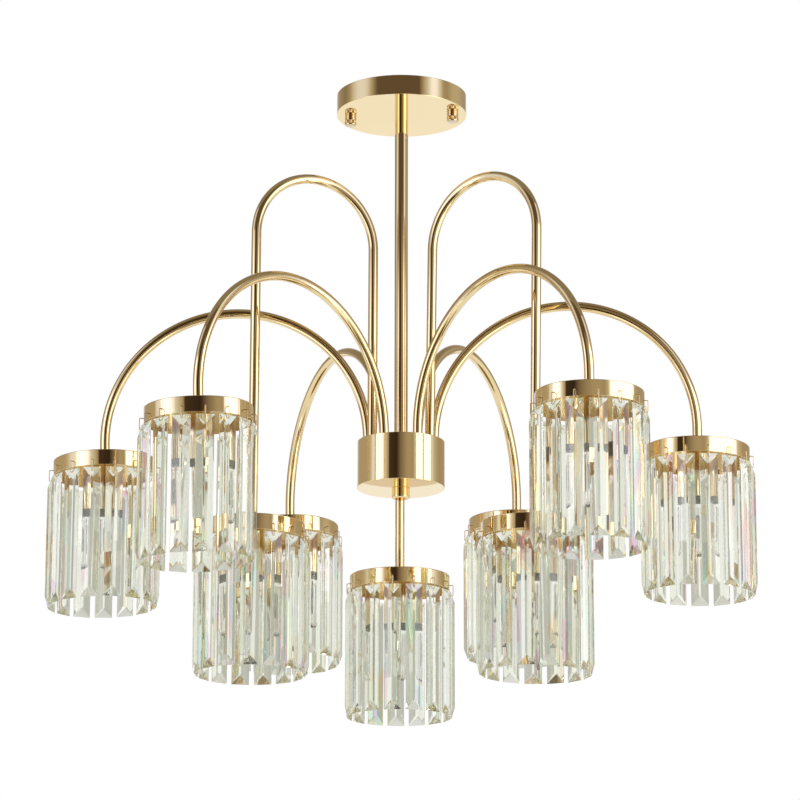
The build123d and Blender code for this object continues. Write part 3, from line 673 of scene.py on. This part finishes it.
for number, arm in enumerate(ARMS, start=1):
    bm = turned(cup(CAP_R, CAP_WALL, 0, -CAP_WALL, -CAP_H), steps=120)
    corner = [
        e for e in sharp_edges(bm)
        if all(v.co.z > -NEAR and v.co.xy.length > CAP_R - NEAR for v in e.verts)
    ]
    soften(bm, corner, CAP_EDGE, segments=6)
    # Faces inside the cap get the second material, the paler gold painted to lift the shade there.
    for face in bm.faces:
        middle = face.calc_center_median()
        if middle.xy.length < CAP_R - CAP_WALL / 2 and middle.z < -CAP_WALL / 2:
            face.material_index = 1
    bm.transform(cap_frame(arm))
    piece = finish_piece(f"shade_cap_{number}", bm, gold, stands_for=[f"cap_{number}"])
    piece.data.materials.append(inner_gold_painted_paler)
    drill = bmesh.new()
    for k in range(CRYSTALS):
        around = radians(FIRST_CRYSTAL[number - 1] + 360 / CRYSTALS * k - arm[1])
        hole = bmesh.ops.create_cone(drill, cap_ends=True, segments=12, radius1=HOLE_R,
                                     radius2=HOLE_R, depth=HOLE_DRILL)
        bmesh.ops.transform(
            drill, verts=hole["verts"],
            matrix=Matrix.Rotation(around, 4, "Z")
            @ Matrix.Translation((CAP_R, 0, -HOLE_DOWN))
            @ Matrix.Rotation(pi / 2, 4, "Y"),
        )
    drill.transform(cap_frame(arm))
    piece.data = drilled(piece.data, drill)

# ------------------------------------------------------------------ sockets
# Each cap carries a gold sleeve with a dark heat-proof holder in it; the
# holder's ring shows below the sleeve.
SLEEVE_R = 0.012
SLEEVE_WALL = 0.001
SLEEVE_ROOF = -0.003                     # heights in a shade are from its cap's top face
SLEEVE_END = -0.053
HOLDER_TOP = -0.024
HOLDER_NECK_R = 0.0107
HOLDER_R = 0.0115
HOLDER_END = -0.0577
POCKET_R = 0.0079
POCKET_TOP = -0.042
SOCKET_EDGE = 0.0002
SLEEVE_PROFILE = cup(SLEEVE_R, SLEEVE_WALL, -CAP_WALL, SLEEVE_ROOF, SLEEVE_END)
HOLDER_PROFILE = [
    (0, HOLDER_TOP), (HOLDER_NECK_R, HOLDER_TOP), (HOLDER_NECK_R, SLEEVE_END), (HOLDER_R, SLEEVE_END),
    (HOLDER_R, HOLDER_END), (POCKET_R, HOLDER_END), (POCKET_R, POCKET_TOP), (0, POCKET_TOP),
]
MOTTLE_PER_M = 260.0
MOTTLE_SHADE = 0.86                      # of the plain colour, where the mottle is deepest


def plastic(name, colour, rough):
    """Moulded plastic or ceramic with a faint mottle."""
    made, nt, shader = new_material(name)
    shader.inputs["Roughness"].default_value = rough
    place = nt.nodes.new("ShaderNodeTexCoord")
    mottle = nt.nodes.new("ShaderNodeTexNoise")
    mottle.inputs["Scale"].default_value = MOTTLE_PER_M
    nt.links.new(place.outputs["Object"], mottle.inputs["Vector"])
    shade = [part * MOTTLE_SHADE for part in colour]
    mottled = blend_by(nt, mottle.outputs["Fac"], (*colour, 1.0), (*shade, 1.0))
    nt.links.new(mottled, shader.inputs["Base Color"])
    return made


dark_plastic = plastic("dark_holder", (0.30, 0.29, 0.22), rough=0.42)
sleeves = bmesh.new()
holders = bmesh.new()
for arm in ARMS:
    for gathered, profile in ((sleeves, SLEEVE_PROFILE), (holders, HOLDER_PROFILE)):
        part = turned(profile, steps=64)
        soften(part, sharp_edges(part), SOCKET_EDGE, segments=2)
        part.transform(cap_frame(arm))
        gathered.from_mesh(mesh_of("socket_part", part))
# The sleeves get the same paler gold, painted light for the shade inside the crystals.
finish_piece("gold_sleeves", sleeves, inner_gold_painted_paler, stands_for=["socket_sleeves"])
finish_piece("dark_holders", holders, dark_plastic, stands_for=["lamp_holders"])

# ------------------------------------------------------------------ bulbs
# Clear capsule bulbs that push up into the holders: a glass tube with a
# domed end, a pressed foot, two support wires and a coiled filament.
BULB_R = 0.0078
BULB_TOP = -0.0605
BULB_END = -0.114
BULB_WALL = 0.0009
HOLLOW_TOP = -0.0625
DOME_H = 0.0062                          # where dome and hollow meet the tube, over the bulb's end
HOLLOW_H = 0.0066
# (share of the bulb's radius, height over the lowest point) down the dome and up the hollow
DOME = [(0.93, 0.0036), (0.72, 0.0014), (0.38, 0.0002)]
HOLLOW = [(0.34, 0.0003), (0.64, 0.0014), (0.83, 0.0034)]
FOOT_R = 0.0076
FOOT_END = -0.0604
WIRE_R = 0.00035
SUPPORT_AT = 0.0030                      # from the bulb's axis
SUPPORT_L = 0.036
PIN_AT = 0.0045
PIN_L = 0.005
COIL_TURNS = 22
COIL_R = 0.0014
COIL_TOP = -0.072
COIL_PITCH = 0.0011
COIL_WIRE = 0.0005
COIL_TILT = 0.35                         # radians


def clear_glass(name, tint, index):
    """Clear glass with the faint tint of its melt."""
    made, _, shader = new_material(name)
    shader.inputs["Base Color"].default_value = (*tint, 1.0)
    shader.inputs["Roughness"].default_value = 0.0
    shader.inputs["IOR"].default_value = index
    shader.inputs["Transmission Weight"].default_value = 1.0
    return made


bulb_glass = clear_glass("bulb_glass", (0.99, 0.99, 0.99), index=1.30)
wire_metal = metal("support_wire", pale=(0.55, 0.54, 0.52), deep=(0.42, 0.41, 0.40),
                   smooth=0.18, dull=0.35, grain=0.02)
white_ceramic = plastic("white_ceramic", (0.50, 0.49, 0.43), rough=0.5)
for number, arm in enumerate(ARMS, start=1):
    body = f"bulb_{number}"
    envelope = turned([
        (0, BULB_TOP), (BULB_R, BULB_TOP), (BULB_R, BULB_END + DOME_H),
        *((BULB_R * share, BULB_END + height) for share, height in DOME),
        (0, BULB_END),
        (0, BULB_END + BULB_WALL),
        *((BULB_R * share, BULB_END + BULB_WALL + height) for share, height in HOLLOW),
        (BULB_R - BULB_WALL, BULB_END + HOLLOW_H), (BULB_R - BULB_WALL, HOLLOW_TOP), (0, HOLLOW_TOP),
    ], steps=48)
    envelope.transform(cap_frame(arm))
    finish_piece(f"bulb_envelope_{number}", envelope, bulb_glass, body=body,
                 stands_for=[body])
    foot = turned(bar(FOOT_R, POCKET_TOP, FOOT_END), steps=40)
    foot.transform(cap_frame(arm))
    finish_piece(f"bulb_foot_{number}", foot, white_ceramic, body=body)
    wires = bmesh.new()
    for side in (-1, 1):
        for at, long, middle in (
            (SUPPORT_AT, SUPPORT_L, HOLLOW_TOP - SUPPORT_L / 2),
            (PIN_AT, PIN_L, POCKET_TOP + PIN_L / 2),
        ):
            wire = bmesh.ops.create_cone(wires, cap_ends=True, segments=8, radius1=WIRE_R,
                                         radius2=WIRE_R, depth=long)
            bmesh.ops.translate(wires, verts=wire["verts"], vec=(side * at, 0, middle))
    for k in range(COIL_TURNS):
        loop = bmesh.ops.create_cone(wires, cap_ends=False, segments=10, radius1=COIL_R,
                                     radius2=COIL_R, depth=COIL_WIRE)
        bmesh.ops.transform(
            wires, verts=loop["verts"],
            matrix=Matrix.Translation((0, 0, COIL_TOP - COIL_PITCH * k))
            @ Matrix.Rotation(COIL_TILT, 4, "X"),
        )
    wires.transform(cap_frame(arm))
    finish_piece(f"bulb_wires_{number}", wires, wire_metal, body=body)

# ------------------------------------------------------------------ crystals
# Cut crystal drops, ridged on both faces and chiselled at both ends, hung
# plumb from each cap's rim by closed links of gold wire.
CRYSTAL_W = 0.018
CRYSTAL_T = 0.008
CRYSTAL_L = 0.135
CRYSTAL_EDGE = 0.0012                    # thickness left along the sides
CRYSTAL_TIP = 0.0006                     # and at the chiselled ends
CRYSTAL_CUT = 0.0105                     # length of the chisel cuts
CRYSTAL_AT = 0.0019                      # out from the middle of its hole in the rim
CRYSTAL_DROP = 0.009                     # and down from it
EYE_DOWN = 0.0035
EYE_R = 0.0008
CRYSTAL_INDEX = 1.54
CRYSTAL_TINT = (0.975, 0.985, 0.955, 1.0)
MELT = (0.80, 0.80, 0.64, 1.0)           # the further light goes through the melt, the more tint
MELT_DENSITY = 10.0
GLASS_BOUNCES = 300                      # light runs up and down inside many times
# Painted fire: coloured patches painted into the crystal's base colour stand in for the spectrum that cut
# glass splits light into. They are painted highlights, not a tint of the glass.
FLASHES_PER_M = 62.0                     # patches of the cut that may flash in a spectrum's hues
FLASH_STRETCH = (1.0, 1.0, 0.22)
FLASHING = (0.88, 0.90)                  # level, of nought to one, over which a patch does
BANDS_PER_M = 150.0                      # of hue, side by side down the drop
BAND_STRETCH = (1.0, 1.0, 0.05)
PAINTED_FIRE_HUES = [
    (0.34, (1.00, 0.56, 0.74)), (0.41, (0.78, 0.74, 1.00)), (0.46, (0.58, 0.92, 1.00)),
    (0.51, (0.74, 1.00, 0.80)), (0.56, (1.00, 1.00, 0.90)), (0.62, (1.00, 0.98, 0.60)),
    (0.69, (1.00, 0.76, 0.56)),
]

# This group paints the rainbow glints into the glass's colour as painted light.
painted_fire = new_group("painted_fire", [("Color", "NodeSocketColor")], Strength=1.0)
inside = painted_fire.nodes.new("NodeGroupInput")
outside = painted_fire.nodes.new("NodeGroupOutput")
place = painted_fire.nodes.new("ShaderNodeTexCoord")
tall = painted_fire.nodes.new("ShaderNodeMapping")
tall.inputs["Scale"].default_value = FLASH_STRETCH
painted_fire.links.new(place.outputs["Object"], tall.inputs["Vector"])
cells = painted_fire.nodes.new("ShaderNodeTexVoronoi")
cells.inputs["Scale"].default_value = FLASHES_PER_M
painted_fire.links.new(tall.outputs["Vector"], cells.inputs["Vector"])
pick = painted_fire.nodes.new("ShaderNodeSeparateColor")
painted_fire.links.new(cells.outputs["Color"], pick.inputs["Color"])
lit = span_of(painted_fire, pick.outputs["Red"], *FLASHING)
across = painted_fire.nodes.new("ShaderNodeTexNoise")
across.inputs["Scale"].default_value = BANDS_PER_M
across.inputs["Detail"].default_value = 0.0
plumb = painted_fire.nodes.new("ShaderNodeMapping")
plumb.inputs["Scale"].default_value = BAND_STRETCH
painted_fire.links.new(place.outputs["Object"], plumb.inputs["Vector"])
painted_fire.links.new(plumb.outputs["Vector"], across.inputs["Vector"])
hues = colours_along(painted_fire, across.outputs["Fac"], PAINTED_FIRE_HUES)
amount = painted_fire.nodes.new("ShaderNodeMath")
amount.operation = "MULTIPLY"
painted_fire.links.new(lit, amount.inputs[0])
painted_fire.links.new(inside.outputs["Strength"], amount.inputs[1])
painted_flash = blend_by(painted_fire, amount.outputs["Value"], CRYSTAL_TINT, hues)
painted_fire.links.new(painted_flash, outside.inputs["Color"])

crystal_glass = clear_glass("cut_crystal", CRYSTAL_TINT[:3], index=CRYSTAL_INDEX)
crystal_tree = crystal_glass.node_tree
# The painted rainbow glints go into the crystal's base colour.
painted_sparkle = crystal_tree.nodes.new("ShaderNodeGroup")
painted_sparkle.node_tree = painted_fire
painted_sparkle.inputs["Strength"].default_value = 1.0
crystal_tree.links.new(painted_sparkle.outputs["Color"], crystal_tree.nodes["Principled BSDF"].inputs["Base Color"])
melt = crystal_tree.nodes.new("ShaderNodeVolumeAbsorption")
melt.inputs["Color"].default_value = MELT
melt.inputs["Density"].default_value = MELT_DENSITY
crystal_tree.links.new(melt.outputs["Volume"], crystal_tree.nodes["Material Output"].inputs["Volume"])
bpy.context.scene.cycles.max_bounces = GLASS_BOUNCES
bpy.context.scene.cycles.transmission_bounces = GLASS_BOUNCES
bpy.context.scene.cycles.glossy_bounces = GLASS_BOUNCES

drop = bmesh.new()
section = [
    (CRYSTAL_T / 2, 0), (CRYSTAL_EDGE / 2, CRYSTAL_W / 2), (-CRYSTAL_EDGE / 2, CRYSTAL_W / 2),
    (-CRYSTAL_T / 2, 0), (-CRYSTAL_EDGE / 2, -CRYSTAL_W / 2), (CRYSTAL_EDGE / 2, -CRYSTAL_W / 2),
]
foot_face = drop.faces.new([drop.verts.new((x, y, -CRYSTAL_L)) for x, y in section])
lifted = bmesh.ops.extrude_face_region(drop, geom=[foot_face])
bmesh.ops.translate(drop, verts=[g for g in lifted["geom"] if isinstance(g, bmesh.types.BMVert)],
                    vec=(0, 0, CRYSTAL_L))
slope = (CRYSTAL_T - CRYSTAL_TIP) / 2 / CRYSTAL_CUT
for side in (-1, 1):
    for end, up in ((0.0, 1), (-CRYSTAL_L, -1)):
        cut = bmesh.ops.bisect_plane(
            drop, geom=drop.verts[:] + drop.edges[:] + drop.faces[:],
            plane_co=(side * CRYSTAL_TIP / 2, 0, end),
            plane_no=Vector((side, 0, up * slope)).normalized(), clear_outer=True,
        )
        open_edges = [g for g in cut["geom_cut"] if isinstance(g, bmesh.types.BMEdge)]
        bmesh.ops.edgeloop_fill(drop, edges=open_edges)
bmesh.ops.remove_doubles(drop, verts=drop.verts, dist=1e-7)
bmesh.ops.recalc_face_normals(drop, faces=drop.faces)
bmesh.ops.translate(drop, verts=drop.verts, vec=(CRYSTAL_AT, 0, -CRYSTAL_DROP))
eye = bmesh.new()
bmesh.ops.create_cone(eye, cap_ends=True, segments=12, radius1=EYE_R, radius2=EYE_R,
                      depth=2 * CRYSTAL_T)
eye.transform(
    Matrix.Translation((CRYSTAL_AT, 0, -CRYSTAL_DROP - EYE_DOWN)) @ Matrix.Rotation(pi / 2, 4, "Y")
)
drop_mesh = drilled(mesh_of("crystal_drop", drop), eye)

for number, arm in enumerate(ARMS, start=1):
    ring = bmesh.new()
    for k in range(CRYSTALS):
        angle = FIRST_CRYSTAL[number - 1] + 360 / CRYSTALS * k
        around = radians(angle - arm[1])
        hole_at = cap_frame(arm) @ Vector((
            (CAP_R - CAP_WALL / 2) * cos(around), (CAP_R - CAP_WALL / 2) * sin(around), -HOLE_DOWN,
        ))
        start = len(ring.verts)
        ring.from_mesh(drop_mesh)
        ring.verts.ensure_lookup_table()
        bmesh.ops.transform(
            ring, verts=ring.verts[start:],
            matrix=Matrix.Translation(hole_at) @ Matrix.Rotation(radians(angle), 4, "Z"),
        )
    piece = finish_piece(f"crystal_ring_{number}", ring, crystal_glass,
                         stands_for=[f"crystals_{number}"])
    piece.data.polygons.foreach_set("use_smooth", [False] * len(piece.data.polygons))

# ------------------------------------------------------------------ carried over
# Links, hidden fixings and leads keep their CAD shape and get their finish.
steel = metal("plated_steel", pale=(0.60, 0.60, 0.61), deep=(0.50, 0.50, 0.51),
              smooth=0.22, dull=0.42, grain=0.1)
white_plastic = plastic("white_plastic", (0.80, 0.80, 0.77), rough=0.45)
sheath = plastic("lead_sheath", (0.72, 0.69, 0.62), rough=0.4)
for material, names in (
    (gold, ["hub_plate"]),
    (nut_gold, ["links"]),
    (steel, ["ceiling_bracket", "bracket_studs", "canopy_nipple", "rod_nuts", "hub_stud",
             "arm_nipples", "arm_nuts", "cap_nipples", "sleeve_nuts"]),
    (white_plastic, ["terminal_block", "junction_ring"]),
    (sheath, ["rod_lead", "arm_leads"]),
):
    for name in names:
        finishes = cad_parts[name].data.materials
        finishes.clear()
        finishes.append(material)
